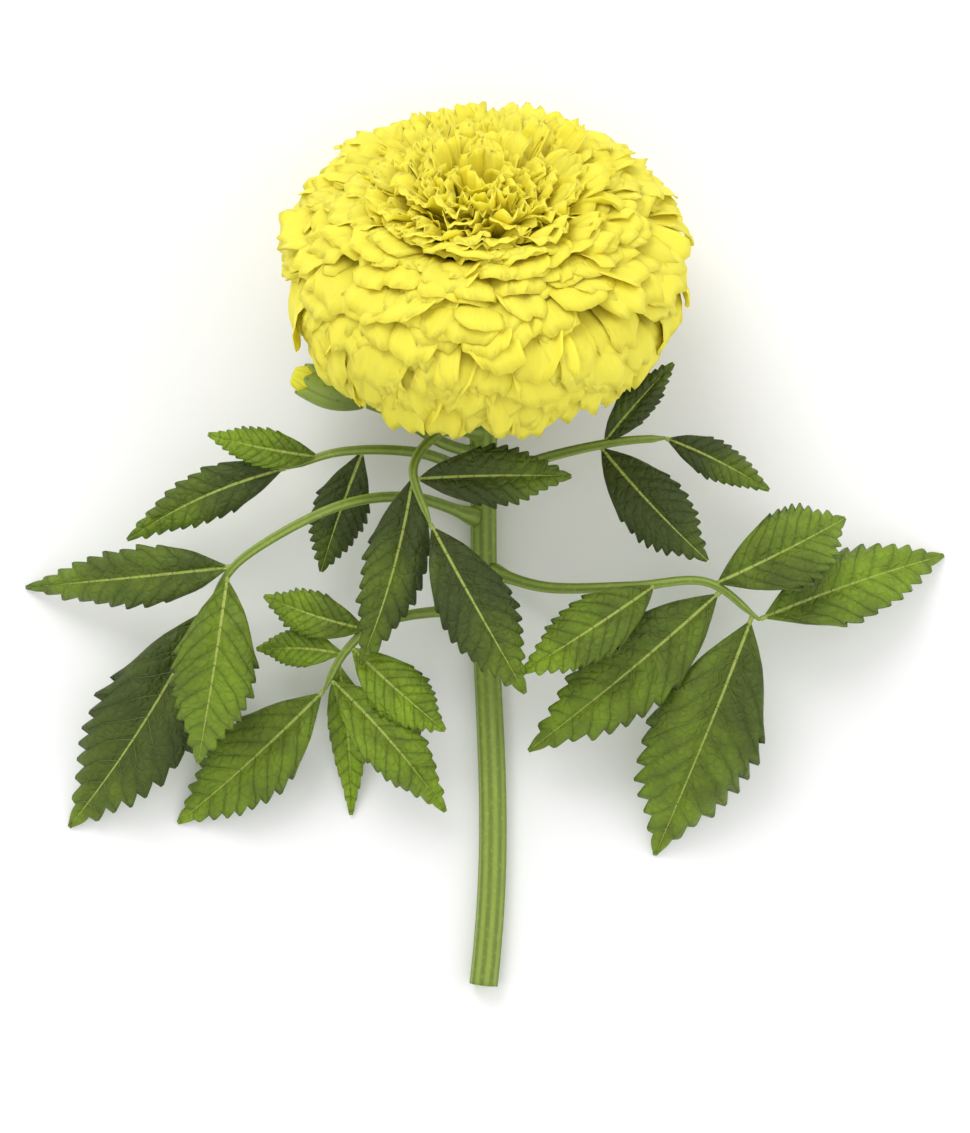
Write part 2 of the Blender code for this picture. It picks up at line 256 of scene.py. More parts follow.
def head_to_world(points):
    """Turns points of the bloom's own frame, x, y and h, to their place above the surface."""
    s, c = math.sin(HEAD_TILT), math.cos(HEAD_TILT)
    axes = np.array([(1.0, 0.0, 0.0), (0.0, s, -c), (0.0, c, s)])
    return HEAD + points @ axes


def grid_faces(rows, columns):
    """Quads of one grid whose last column joins its first, wound so that rows x columns points outwards."""
    i, j = np.meshgrid(np.arange(rows - 1), np.arange(columns), indexing="ij")
    k = (j + 1) % columns
    corners = (i * columns + j, (i + 1) * columns + j, (i + 1) * columns + k, i * columns + k)
    return np.stack(corners, -1).reshape(-1, 4)


def end_faces(rings, columns):
    """The two faces that close a grid's first and last ring."""
    last = (rings - 1) * columns
    return [tuple(range(columns)), tuple(range(last + columns - 1, last - 1, -1))]


def add_object(name, data):
    made = bpy.data.objects.new(name, data)
    bpy.context.collection.objects.link(made)
    return made


def add_mesh(name, points, quads, extra=(), attributes=None, materials=(), face_material=None, flat=None):
    """A finished object at the origin, from points in millimetres, quads, and any faces with other counts.

    The quads marked flat, such as a sheet's rim, stay unsmoothed, so the edges beside them are crisp.
    """
    mesh = bpy.data.meshes.new(name)
    faces = quads.tolist() + [tuple(f) for f in extra]
    mesh.from_pydata((points.reshape(-1, 3) * MM).tolist(), [], faces)
    for key, values in (attributes or {}).items():
        made = mesh.attributes.new(key, "FLOAT_VECTOR", "POINT")
        made.data.foreach_set("vector", np.asarray(values, np.float32).reshape(-1))
    for made in materials:
        mesh.materials.append(made)
    if face_material is not None:
        mesh.polygons.foreach_set("material_index", np.asarray(face_material, np.int32))
    smooth = np.ones(len(faces), bool)
    if flat is not None:
        smooth[: len(quads)] = ~flat
    mesh.polygons.foreach_set("use_smooth", smooth)
    mesh.update()
    mesh.validate()
    return add_object(name, mesh)


def closed_sheets(grids, thickness):
    """Thin solids from open grids, shaped (sheets, rows, columns, 3).

    Each grid is moved half the thickness along its own normal, rows x columns, to make the upper face, and
    half against it to make the lower one; the two are joined round their edges. Returns points shaped
    (sheets, rows, 2 x columns, 3), quads, which of the quads are lower ones, and which make up the rim.
    """
    normal = unit(np.cross(np.gradient(grids, axis=1), np.gradient(grids, axis=2)))
    half = np.broadcast_to(thickness, grids.shape[:3])[..., None] / 2
    ring = np.concatenate([grids + normal * half, (grids - normal * half)[:, :, ::-1]], axis=2)
    sheets, rows, columns = ring.shape[:3]
    sides = grid_faces(rows, columns)
    j = np.arange(columns // 2 - 1)
    first = np.stack([j, j + 1, columns - 2 - j, columns - 1 - j], -1)
    last = (rows - 1) * columns + first[:, ::-1]
    one = np.concatenate([sides, first, last])
    lower = one % columns >= columns // 2
    under, rim = lower.all(axis=1), lower.any(axis=1) & ~lower.all(axis=1)
    quads = (one[None] + (np.arange(sheets) * rows * columns)[:, None, None]).reshape(-1, 4)
    return ring, quads, np.tile(under, sheets), np.tile(rim, sheets)


def on_both_faces(values):
    """Values on an open grid, shaped (sheets, rows, columns, n), carried to the points of closed_sheets."""
    return np.concatenate([values, values[:, :, ::-1]], axis=2)


def smooth_path(knots, count):
    """Points evenly spread in parameter along a Catmull-Rom curve through the knots."""
    knots = np.asarray(knots, float)
    ends = np.vstack([2 * knots[0] - knots[1], knots, 2 * knots[-1] - knots[-2]])
    along = np.linspace(0, len(knots) - 1, count)
    span = np.minimum(along.astype(int), len(knots) - 2)
    t = (along - span)[:, None]
    a, b, c, d = (ends[span + k] for k in range(4))
    return 0.5 * (
        2 * b + (c - a) * t + (2 * a - 5 * b + 4 * c - d) * t**2 + (3 * b - a - 3 * c + d) * t**3
    )


def path_frame(path):
    """Directions ahead, to the side and up at each point of a path."""
    ahead = unit(np.gradient(path, axis=0))
    side = unit(np.cross(ahead, (0.0, 0.0, 1.0)))
    return ahead, side, np.cross(side, ahead)


def rod(path, radii):
    """Rings round a path, radii being rows x columns: at turn a, path + radius (cos a side + sin a up)."""
    _, side, up = path_frame(path)
    turn = turns(radii.shape[1])
    around = np.cos(turn)[None, :, None] * side[:, None] + np.sin(turn)[None, :, None] * up[:, None]
    return path[:, None] + radii[..., None] * around


def rod_mesh(name, path, radii, materials, domed=0.0):
    """A closed rod. Its two ends shrink to the middle in a few rings, standing out by the dome's height."""
    rings = rod(path, radii)
    ahead, _, _ = path_frame(path)
    inset = np.array([0.92, 0.7, 0.4, 0.12])
    caps = []
    for end, way in ((0, -1), (-1, 1)):
        middle = path[end]
        lift = way * ahead[end] * domed
        caps.append([middle + (rings[end] - middle) * k + lift * (1 - k**2) for k in inset])
    points = np.concatenate([np.array(caps[0])[::-1], rings, np.array(caps[1])])
    columns = radii.shape[1]
    quads = grid_faces(len(points), columns)
    ends = end_faces(len(points), columns)
    share = np.clip((np.arange(len(points)) - len(inset)) / (len(path) - 1), 0, 1)
    rim = np.concatenate([inset[::-1], np.ones(len(path)), inset])
    around = np.tile(np.arange(columns) / columns, len(points))
    values = np.stack([np.repeat(share, columns), around, np.repeat(rim, columns)], -1)
    return add_mesh(name, points, quads, ends, {"place": values}, materials)


# ---- materials


class Nodes:
    """A material's nodes, made in the order in which colour and relief run through them."""

    def __init__(self, name):
        self.material = bpy.data.materials.new(name)
        self.material.use_nodes = True
        self.tree = self.material.node_tree
        self.shader = self.tree.nodes["Principled BSDF"]

    def add(self, kind, **settings):
        node = self.tree.nodes.new(kind)
        for key, value in settings.items():
            setattr(node, key, value)
        return node

    def feed(self, value, socket):
        if isinstance(value, bpy.types.NodeSocket):
            self.tree.links.new(value, socket)
        else:
            socket.default_value = value

    def fill(self, node, *values):
        """Feeds a node's first inputs in turn, and gives its first output."""
        for value, socket in zip(values, node.inputs):
            self.feed(value, socket)
        return node.outputs[0]

    def put(self, node, **inputs):
        """Feeds a node's inputs by name, with _ for each space."""
        for name, value in inputs.items():
            self.feed(value, node.inputs[name.replace("_", " ")])
        return node.outputs

    def maths(self, operation, a, b=0.0, c=0.0):
        return self.fill(self.add("ShaderNodeMath", operation=operation), a, b, c)

    def times(self, a, b):
        return self.maths("MULTIPLY", a, b)

    def spread(self, value, low, high, to_low=0.0, to_high=1.0):
        """A smooth climb from to_low to to_high as value goes from low to high."""
        node = self.add("ShaderNodeMapRange", interpolation_type="SMOOTHSTEP")
        return self.fill(node, value, low, high, to_low, to_high)

    def mix(self, factor, first, second, blend="MIX"):
        node = self.add("ShaderNodeMix", data_type="RGBA", blend_type=blend)
        self.feed(factor, node.inputs[0])
        for value, socket in ((first, node.inputs[6]), (second, node.inputs[7])):
            self.feed(value if isinstance(value, bpy.types.NodeSocket) else (*value, 1.0), socket)
        return node.outputs[2]

    def places(self, name="place"):
        """The three numbers of the piece's own attribute."""
        source = self.add("ShaderNodeAttribute", attribute_name=name)
        return self.put(self.add("ShaderNodeSeparateXYZ"), Vector=source.outputs["Vector"])

    def vector(self, x, y, z):
        return self.fill(self.add("ShaderNodeCombineXYZ"), x, y, z)

    def noise(self, scale, detail=3.0, vector=None):
        if vector is None:
            vector = self.add("ShaderNodeTexCoord").outputs["Object"]
        return self.put(self.add("ShaderNodeTexNoise"), Scale=scale, Detail=detail, Vector=vector)["Fac"]

    def cells(self, scale, feature="F1"):
        vector = self.add("ShaderNodeTexCoord").outputs["Object"]
        node = self.add("ShaderNodeTexVoronoi", feature=feature)
        return self.put(node, Scale=scale, Vector=vector)["Distance"]

    def relief(self, height, distance, strength=1.0):
        made = self.put(self.add("ShaderNodeBump"), Distance=distance, Strength=strength, Height=height)
        self.put(self.shader, Normal=made["Normal"])

    def surface(self, roughness, specular=0.5, subsurface=0.0, radius=(1.0, 1.0, 1.0), depth=0.001):
        self.put(self.shader, Roughness=roughness, Specular_IOR_Level=specular)
        self.put(self.shader, Subsurface_Weight=subsurface, Subsurface_Radius=radius, Subsurface_Scale=depth)

    def colour(self, socket):
        self.put(self.shader, Base_Color=socket)
        return self.material


def petal_material(name, colour, deep):
    """Petal: deeper towards the claw, with fine lengthwise veins, faint mottling and a tint of its own."""
    made = Nodes(name)
    along, across, chance = made.places()
    streaks = made.vector(made.times(across, 9.0), made.times(along, 1.3), made.times(chance, 37.0))
    veins = made.noise(scale=1.0, detail=2.0, vector=streaks)
    mottle = made.noise(scale=260.0, detail=4.0)
    pale = [min(1.0, c * 1.12 + 0.02) for c in colour]
    rich = [c * k for c, k in zip(colour, (0.98, 0.93, 0.55))]
    body = made.mix(made.spread(along, 0.25, 0.85), deep, colour)
    body = made.mix(made.spread(veins, 0.35, 0.7, to_high=0.16), body, deep)
    body = made.mix(made.spread(mottle, 0.35, 0.75, to_high=0.14), body, pale)
    body = made.mix(made.spread(chance, 0.0, 1.0, to_high=0.22), body, rich)
    height = made.maths("ADD", veins, made.times(mottle, 0.3))
    made.relief(height, distance=0.0004, strength=0.5)
    made.surface(roughness=0.62, specular=0.22, subsurface=0.3, radius=(1.0, 0.85, 0.15), depth=0.002)
    return made.colour(body)


def leaf_material(name, dull, bright, vein_colour, edge_colour, roughness):
    """Leaf face: a thin pale midrib, side veins that run to the teeth with painted shade in the sunken
    furrows beside them, a netted blade, darker teeth, and painted shade towards each leaflet's foot with
    painted light towards its tip.

    The attribute kind holds the leaflet's tint, its half width there in millimetres and its number of
    teeth.
    """
    made = Nodes(name)
    along, across, _ = made.places()
    tint, half, teeth = made.places("kind")
    off_middle = made.maths("ABSOLUTE", across)
    from_rib = made.times(off_middle, half)
    stray = made.maths("SUBTRACT", made.noise(scale=90.0, detail=2.0), 0.5)
    stray = made.times(stray, off_middle)
    steps = made.maths("MULTIPLY_ADD", along, teeth, VEIN_OFFSET)
    steps = made.maths("ADD", steps, made.times(stray, 1.6))
    beat = made.maths("PINGPONG", steps, 0.5)
    net = made.cells(scale=430.0, feature="DISTANCE_TO_EDGE")
    mottle = made.noise(scale=120.0, detail=5.0)
    patch = made.noise(scale=34.0, detail=3.0)
    tint = made.maths("ADD", tint, made.spread(patch, 0.3, 0.7, -0.22, 0.22))
    # Painted light: the tint is darkened towards each leaflet's foot as painted shade and brightened towards
    # its tip.
    tint = made.maths("ADD", tint, made.spread(along, 0.0, 1.0, -0.22, 0.22))
    blade = made.mix(tint, dull, bright)
    blade = made.mix(made.spread(mottle, 0.35, 0.72, to_high=0.42), blade, [c * 0.62 for c in dull])
    # Painted shade: the blade is darkened, by multiplying, in the sunken furrows on either side of each side
    # vein.
    blade = made.mix(made.spread(beat, 0.0, 0.32, 0.32, 0.0), blade, (0.5, 0.5, 0.5), "MULTIPLY")
    blade = made.mix(made.spread(net, 0.0, 0.09, 0.12, 0.0), blade, [c * 0.7 for c in dull])
    side_vein = made.spread(beat, 0.0, 0.045, 1.0, 0.0)
    fading = made.times(side_vein, made.spread(off_middle, 0.1, 0.9, 0.38, 0.05))
    blade = made.mix(fading, blade, vein_colour)
    blade = made.mix(made.spread(off_middle, 0.95, 1.0, to_high=0.55), blade, edge_colour)
    width = made.spread(along, 0.0, 1.0, 0.50, 0.20)
    rib = made.spread(from_rib, made.times(width, 0.5), width, 0.92, 0.0)
    blade = made.mix(rib, blade, vein_colour)
    height = made.maths("SUBTRACT", made.spread(net, 0.0, 0.25), made.times(side_vein, 1.2))
    grain = made.times(made.noise(scale=900.0, detail=2.0), 0.3)
    made.relief(made.maths("ADD", height, grain), distance=0.0003, strength=0.9)
    made.surface(roughness, specular=0.24, subsurface=0.1, radius=(0.5, 1.0, 0.2), depth=0.001)
    return made.colour(blade)


def stem_material(name, colour, dark, stripes, pith=None):
    """Green stalk: lengthwise stripes, coarse and fine mottling and, at a cut, a pale wet pith."""
    made = Nodes(name)
    _, around, rim = made.places()
    stripe = made.maths("PINGPONG", made.times(around, float(stripes)), 0.5)
    body = made.mix(made.spread(stripe, 0.08, 0.42), dark, colour)
    shade = made.spread(made.noise(scale=95.0, detail=4.0), 0.4, 0.75, to_high=0.5)
    body = made.mix(shade, body, [c * 0.7 for c in colour])
    fleck = made.spread(made.noise(scale=900.0, detail=2.0), 0.5, 0.8, to_high=0.35)
    body = made.mix(fleck, body, [min(1.0, c * 1.5) for c in colour])
    if pith is not None:
        body = made.mix(made.spread(rim, 0.72, 0.9, 1.0, 0.0), body, pith)
    made.relief(made.noise(scale=1200.0), distance=0.0001, strength=0.5)
    made.surface(roughness=0.5, specular=0.4, subsurface=0.1, radius=(0.6, 1.0, 0.3), depth=0.001)
    return made.colour(body)


# ---- bloom


def envelope(bloom):
    """The bloom's outer profile: angles and distances from the receptacle, radii about the axis and steps.

    Over the turn from 0 to 140 degrees the profile is radius x sine out from the axis, and dome x cosine
    above the widest plane or skirt x cosine below it, with a bell-shaped dimple taken off round the axis.
    """
    turn = np.radians(np.linspace(0, 140, 281))
    rho = mm(bloom.radius) * np.sin(turn)
    height = np.where(turn < math.pi / 2, mm(bloom.dome_height), mm(bloom.skirt_depth))
    h = height * np.cos(turn) - mm(bloom.dimple) * bump(rho, 0.0, DIMPLE_REACH)
    seen = np.degrees(np.arctan2(rho, h - RECEPTACLE_H))
    far = np.hypot(rho, h - RECEPTACLE_H)
    return seen, far, rho, np.hypot(np.gradient(rho), np.gradient(h))


def floret_places(bloom, profile):
    """Tip angles and azimuths of all florets, from the skirt in to the centre.

    The count between two angles is the profile's area there over the area that one floret shows, which
    shrinks towards the centre. Azimuths step by the golden angle.
    """
    seen, _, rho, step = profile
    inside = seen <= SKIRT_TIP_ANGLE + 5.0
    shown = mm(bloom.centre_showing) ** 2
    full_size = ease((seen - SMALL_UP_TO) / SMALL_BLEND)
    shown = shown + (mm(bloom.side_showing) ** 2 - shown) * full_size
    count = np.cumsum((2 * math.pi * rho * step / shown)[inside])
    total = int(count[-1])
    tip = np.interp(np.arange(total) + 0.5, count, seen[inside])[::-1]
    return tip, GOLDEN_ANGLE * np.arange(total)


def floret_grids(bloom, profile, tip_angle, azimuth, rng):
    """Every floret's open grid in the bloom's frame, shaped (florets, rows, columns, 3).

    Along a floret, s runs from 0 at the foot to 1 at the tip. Its angle from the axis climbs by a power of
    s and its distance from the receptacle eases out to the bloom's surface, so it rises, then curls over.
    Across it, v runs from -1 to 1 on an arc: side florets arch over, centre ones fold up into a gutter. One
    cosine across v shapes the end's shallow lobes and lifts them, so that the notches lie in furrows, and a
    second, finer one crimps the margin.
    """
    count = len(tip_angle)
    drawn = draw(rng, FLORET_DRAWS, (count, 1, 1))
    u = np.linspace(0, 1, bloom.rows)[None, :, None]
    v = np.linspace(-1, 1, bloom.columns)[None, None, :]
    off = np.abs(v)
    folded_up_to = FOLDED_UP_TO + FOLDED_SWING * np.sin(azimuth)
    upright = ease((folded_up_to - tip_angle) / FOLDED_BLEND)[:, None, None]
    flat = 1 - upright
    hanging = ease((tip_angle - HANGING_FROM) / HANGING_BLEND)[:, None, None]
    jitter = TIP_JITTER - FOLDED_STEADIER * upright - HANGING_STEADIER * hanging
    tip = tip_angle[:, None, None] + drawn["tip"] * jitter
    rank = (SKIRT_TIP_ANGLE - tip_angle[:, None, None]) / (SKIRT_TIP_ANGLE - CENTRE_TIP_ANGLE)
    foot = SKIRT_FOOT_ANGLE + (CENTRE_FOOT_ANGLE - SKIRT_FOOT_ANGLE) * np.clip(rank, 0, 1.05)

    lobe = np.cos(math.pi * drawn["lobes"] * v + drawn["lobe_start"])
    crimp = np.cos(math.pi * drawn["crimps"] * v + drawn["crimp_start"] + 4.0 * u)
    corner = 0.030 + 0.012 * flat + drawn["corner"]
    end = 1 - corner * off**2.6 + (drawn["lobe_depth"] + 0.006 * hanging) * lobe + 0.006 * crimp
    end = end - drawn["point"] * hanging * off
    s = (1 - (1 - u) ** 1.45) * end
    over = np.clip(s, 0, 1)

    angle = foot + (tip - foot) * s ** drawn["climb"]
    seen, far = profile[:2]
    outer = np.interp(angle, seen, far) * (1 + drawn["reach"] * (1 + 0.7 * upright))
    reach = 1 - (1 - over) ** (1.5 - 0.45 * upright) + (s - over)
    distance = FOOT_RADIUS + (outer - FOOT_RADIUS) * reach
    width = mm(bloom.centre_width) + (mm(bloom.side_width) - mm(bloom.centre_width)) * flat
    half = 0.5 * width * drawn["width"]
    half = half * (0.12 + 0.88 * ease((u - 0.25) / 0.5)) * (1 - 0.10 * ease((u - 0.85) / 0.15))

    curl = flat * drawn["flat_curl"] + upright * drawn["folded_curl"]
    curl = curl * ease((u - 0.2) / 0.5)
    curl = np.where(np.abs(curl) < 0.01, 0.01, curl)
    sideways = half * np.sin(curl * v) / curl
    inward = half * (1 - np.cos(curl * v)) / curl

    margin = 0.30 + 0.70 * np.maximum(off**1.6, ease((u - 0.7) / 0.3))
    ruffle = mm(bloom.ruffle) * (0.55 + 0.45 * upright) * ease((u - 0.45) / 0.5) * margin
    ripple = 0.35 * np.sin(5.0 * u + drawn["ripple_start"])
    inward = inward + ruffle * (lobe * drawn["ruffle"] + (0.42 + 0.35 * upright) * crimp + ripple)
    flare = flat * drawn["flat_flare"] + upright * drawn["folded_flare"]
    flare = flare + hanging * (drawn["hanging_flare"] > 0.8) * 3.0
    inward = inward - flare * u**5

    lean = drawn["lean"] * u**2
    twist = drawn["twist"] * u + upright * drawn["folded_twist"] * u
    side = sideways * np.cos(twist) - inward * np.sin(twist)
    lift = sideways * np.sin(twist) + inward * np.cos(twist)

    rho = distance * np.sin(np.radians(angle))
    h = RECEPTACLE_H + distance * np.cos(np.radians(angle))
    along_rho, along_h = np.gradient(rho, axis=1), np.gradient(h, axis=1)
    length = np.hypot(along_rho, along_h)
    rho = rho - lift * along_h / length
    h = h + lift * along_rho / length
    turn = azimuth[:, None, None] + drawn["turn"] + lean
    x = rho * np.cos(turn) - side * np.sin(turn)
    y = rho * np.sin(turn) + side * np.cos(turn)
    return np.stack(np.broadcast_arrays(x, y, h), axis=-1)


def whorl_of(tip_angle):
    """The number of the frame's whorl nearest to each tip angle, from 1 at the skirt."""
    rank = (SKIRT_TIP_ANGLE - tip_angle) / (SKIRT_TIP_ANGLE - CENTRE_TIP_ANGLE)
    return 1 + np.clip(np.round(rank * (WHORLS - 1)), 0, WHORLS - 1).astype(int)


def make_florets(bloom, finish):
    """All florets as one closed thin sheet each, joined into a piece for each of the frame's whorls."""
    profile = envelope(bloom)
    tip, azimuth = floret_places(bloom, profile)
    rng = np.random.default_rng(bloom.seed)
    grids = head_to_world(floret_grids(bloom, profile, tip, azimuth, rng))
    grids[..., 2] = np.maximum(grids[..., 2], mm(bloom.petal_thickness))
    count, rows, columns = grids.shape[:3]
    u = np.linspace(0, 1, rows)[None, :, None]
    v = np.linspace(-1, 1, columns)[None, None, :]
    u, v, tint = np.broadcast_arrays(u, v, rng.uniform(0, 1, (count, 1, 1)))
    values = np.stack([u, v, tint], -1)
    thickness = mm(bloom.petal_thickness) * (1 - 0.6 * np.maximum(np.abs(v) ** 3, u**10))
    petal = petal_material("petal_lemon", finish.petal, finish.petal_deep)
    whorl = whorl_of(tip)
    for place in range(1, WHORLS + 1):
        chosen = whorl == place
        points, quads, _, rim = closed_sheets(grids[chosen], thickness[chosen])
        attributes = {"place": on_both_faces(values[chosen])}
        piece = add_mesh(f"florets_{place:02d}", points, quads, (), attributes, (petal,), None, rim)
        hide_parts(f"floret_whorl_{place:02d}")
        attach(piece, BODY)


def finish_receptacle():
    """The frame's own receptacle stays, with a pale pitted flesh."""
    made = Nodes("receptacle_flesh")
    pits = made.noise(scale=700.0, detail=2.0)
    green, pale = (0.42, 0.47, 0.16), (0.72, 0.75, 0.42)
    body = made.mix(made.spread(pits, 0.4, 0.65), green, pale)
    made.relief(pits, distance=0.0003)
    made.surface(roughness=0.7, specular=0.3)
    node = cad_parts["receptacle"]
    node.data.materials.clear()
    node.data.materials.append(made.colour(body))


# ---- green parts


def stem_path(count):
    """The neck's arc from the cup down to level, then the run to the cut with a slight bow."""
    reach = -CUP_BASE_H
    top_y, top_z = -reach * math.cos(HEAD_TILT), HEAD[2] - reach * math.sin(HEAD_TILT)
    bend = (top_z - STEM_LEVEL_Z) / (1 - math.cos(HEAD_TILT))
    a = np.linspace(HEAD_TILT, 0, count // 3)
    neck = np.stack(
        [0 * a, top_y - bend * (math.sin(HEAD_TILT) - np.sin(a)), STEM_LEVEL_Z + bend * (1 - np.cos(a))], -1
    )
    share = np.linspace(0, 1, count - count // 3 + 1)[1:]
    start = neck[-1, 1]
    bow = STEM_BOW * np.sin(math.pi * share) * share
    run = np.stack([bow, start + (STEM_CUT_Y - start) * share, 0 * share + STEM_LEVEL_Z], -1)
    return from_bloom(np.concatenate([neck, run]))


def stem_radii(path):
    """The stem's radius along its path: it widens evenly to the cut and swells, by a square, to the cup."""
    gone = np.concatenate([[0], np.cumsum(np.linalg.norm(np.diff(path, axis=0), axis=1))])
    swell = np.clip(1 - gone / NECK_SWELL, 0, 1) ** 2
    slim = STEM_RADIUS + (STEM_CUT_RADIUS - STEM_RADIUS) * gone / gone[-1]
    return slim + (STEM_TOP_RADIUS - slim) * swell


def stem_at(y):
    """The stem's middle and radius at a y from the bloom's middle, and the way it runs there."""
    path = stem_path(240)
    order = np.argsort(path[:, 1])
    y = HEAD[1] + y
    centre = np.array([np.interp(y, path[order, 1], path[order, k]) for k in range(3)])
    radius = np.interp(y, path[order, 1], stem_radii(path)[order])
    near = np.argmin(abs(path[:, 1] - y))
    return centre, radius, unit(path[near + 1] - path[near - 1])


def make_stem(stem, finish):
    """A ribbed stem: a cosine round it makes the ridges, and it swells a little where upper leaves join."""
    path = stem_path(stem.rings)
    ridge = np.cos(stem.ridges * turns(stem.ridges * POINTS_PER_RIDGE))[None, :]
    radii = stem_radii(path)[:, None] * (1 - RIDGE_DEPTH + RIDGE_DEPTH * ridge)
    knots = sum(bump(path[:, 1], HEAD[1] + joins_y, KNOT_REACH) for joins_y, *_ in LEAVES.values())
    radii = radii * (1 + KNOT_SWELL * knots[:, None] * (path[:, 2] > STEM_LEVEL_Z + 1)[:, None])
    bark = stem_material("stem_green", finish.stem, finish.stem_dark, stem.ridges, finish.pith)
    piece = rod_mesh("stem_ribbed", path, radii, (bark,), domed=0.25)
    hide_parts("stem")
    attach(piece, BODY)


def stalk_path(joins_y, knots, count):
    """A stalk's path, from just inside the stem's side, out through its own knots."""
    centre, radius, ahead = stem_at(joins_y)
    knots = from_bloom(knots)
    out = knots[0] - centre
    out = unit(out - ahead * (out @ ahead))
    return smooth_path(np.vstack([centre + out * (radius - 0.5), knots]), count)


def make_stalk(name, path, radii, end_taper, finish, node):
    """A grooved stalk: a soft channel runs along its upper side, its foot swells and its end tapers."""
    share = np.linspace(0, 1, len(path))
    base = np.interp(share, (0, 1), radii) * (1 + 0.7 * bump(share, 0.0, 0.05))
    base = base * (1 - end_taper * ease((share - 0.9) / 0.1))
    groove = 1 - GROOVE_DEPTH * bump(turns(STALK_COLUMNS), math.pi / 2, 0.5)
    piece = rod_mesh(name, path, base[:, None] * groove[None, :], (finish,), domed=0.4)
    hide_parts(node)
    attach(piece, BODY)


def leaflet_grid(leaf, root, row, rng):
    """One leaflet's open grid, with u along the midrib from 0 to 1 and v across it from -1 to 1.

    The midrib is a line from root to tip, raised by a parabola and bent slightly sideways. Points off it
    slide towards the tip, so rows of the grid slant forward as side veins do. The half width is a lance
    shape on a narrow foot, with saw teeth that climb slowly and drop back fast. The blade folds up along
    the midrib, droops at its margins, puffs between side veins and waves.
    """
    _, _, tip, width, arch, roll, tint = row
    tip = from_bloom(tip)
    teeth, columns = leaf.teeth, leaf.columns
    u = np.linspace(0, 1, teeth * leaf.rows_per_tooth + 1)[:, None]
    v = np.linspace(-1, 1, columns)[None, :]
    v = np.sign(v) * np.abs(v) ** 0.85
    off = np.abs(v)
    size = np.linalg.norm(tip - root)
    blade = np.clip((u - 0.045) / 0.955, 0, 1)
    lance = np.clip(1 - (2 * blade**0.44 - 1) ** 2, 0, 1) ** 0.85
    middle = 0.5 * width * lance * (1 - 0.35 * ease((u - 0.55) / 0.45)) + 0.4

    beat = (u * teeth) % 1.0
    deep = rng.uniform(*TOOTH_SIZES, (teeth + 1, 2))[np.floor(u[:, 0] * teeth).astype(int)]
    drawn = draw(rng, LEAFLET_DRAWS)
    saw = np.minimum(beat / 0.8, (1 - beat) / 0.2) * np.where(v < 0, deep[:, :1], deep[:, 1:])
    saw = saw * ease((u - 0.08) / 0.14) * ease((1 - u) / 0.16)
    saw = saw * (1 - 0.55 * ease(tint * 3 - 2))
    half = middle * (1 - 0.10 * off**5) + leaf.tooth_depth * width * saw * off**5
    bend = drawn["bend"] * size
    slide = (0.95 * off + 0.35 * off**2) * middle / size * (1 - u) ** 0.35
    t = np.clip(u + slide + 0.012 * saw * off**6, 0, 1)
    line = root + (tip - root) * t[..., None]
    level = unit(np.cross(tip - root, (0.0, 0.0, 1.0)))
    line = line + level * (bend * 4 * t * (1 - t))[..., None]
    line[..., 2] += 4 * arch * t * (1 - t)
    ahead = unit(np.gradient(line[:, columns // 2], axis=0))[:, None]
    level = unit(np.cross(ahead, (0.0, 0.0, 1.0)))
    above = np.cross(level, ahead)
    turn = math.radians(roll) + drawn["twist"] * (u[..., None] - 0.4)
    side = np.cos(turn) * level + np.sin(turn) * above
    normal = np.cross(side, ahead)

    away = off * half
    puff = np.abs(np.sin(math.pi * (teeth * u + VEIN_OFFSET))) ** 0.8 * np.sin(math.pi * off**0.75)
    puff = puff * mm(leaf.quilting)
    fold = leaf.fold * drawn["fold"]
    rise = fold * away - (fold + 0.10) * away * off**2.2 + puff * ease(lance * 2)
    wave = np.sin(2 * math.pi * drawn["waves"] * t + drawn["wave_start"] + (v > 0) * 2.0)
    swell = np.sin(2 * math.pi * drawn["swells"] * t + drawn["swell_start"])
    swell = swell * np.sin(2.4 * v + drawn["swell_tilt"])
    rise = rise + width * lance * (0.045 * off**3 * wave + 0.042 * swell * ease(off * 3))
    rise = rise - 0.35 * bump(away, 0.0, 0.8) * (1 - 0.6 * u)
    grid = line + side * (v * half)[..., None] + normal * rise[..., None]
    grid[..., 2] = np.maximum(grid[..., 2], LEAFLET_LEAST_Z)
    return grid, u, v, middle


def make_leaflet(leaf, name, stalk, row, materials, rng):
    """A leaflet's closed blade, thickest at the midrib and thinner, by a fourth power, to its margins."""
    root = stalk[round(row[1] * (len(stalk) - 1))]
    grid, u, v, middle = leaflet_grid(leaf, root, row, rng)
    shape = grid.shape[:2]
    thickness = mm(leaf.thickness) * (1 - 0.45 * np.abs(v) ** 4)
    thickness = thickness + 0.5 * bump(v * middle, 0, 0.7) * (1 - 0.7 * u)
    u, v, middle = (np.broadcast_to(values, shape) for values in (u, v, middle))
    place = np.stack([u, v, 0 * u], -1)[None]
    kind = np.stack([0 * u + row[6], middle, 0 * u + leaf.teeth], -1)[None]
    points, quads, under, rim = closed_sheets(grid[None, :, ::-1], thickness[None, :, ::-1])
    attributes = {"place": on_both_faces(place[:, :, ::-1]), "kind": on_both_faces(kind[:, :, ::-1])}
    piece = add_mesh(f"leaflet_{name}_{row[0]}", points, quads, (), attributes, materials, under, rim)
    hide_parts(f"leaf_{name}_{row[0]}")
    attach(piece, BODY)


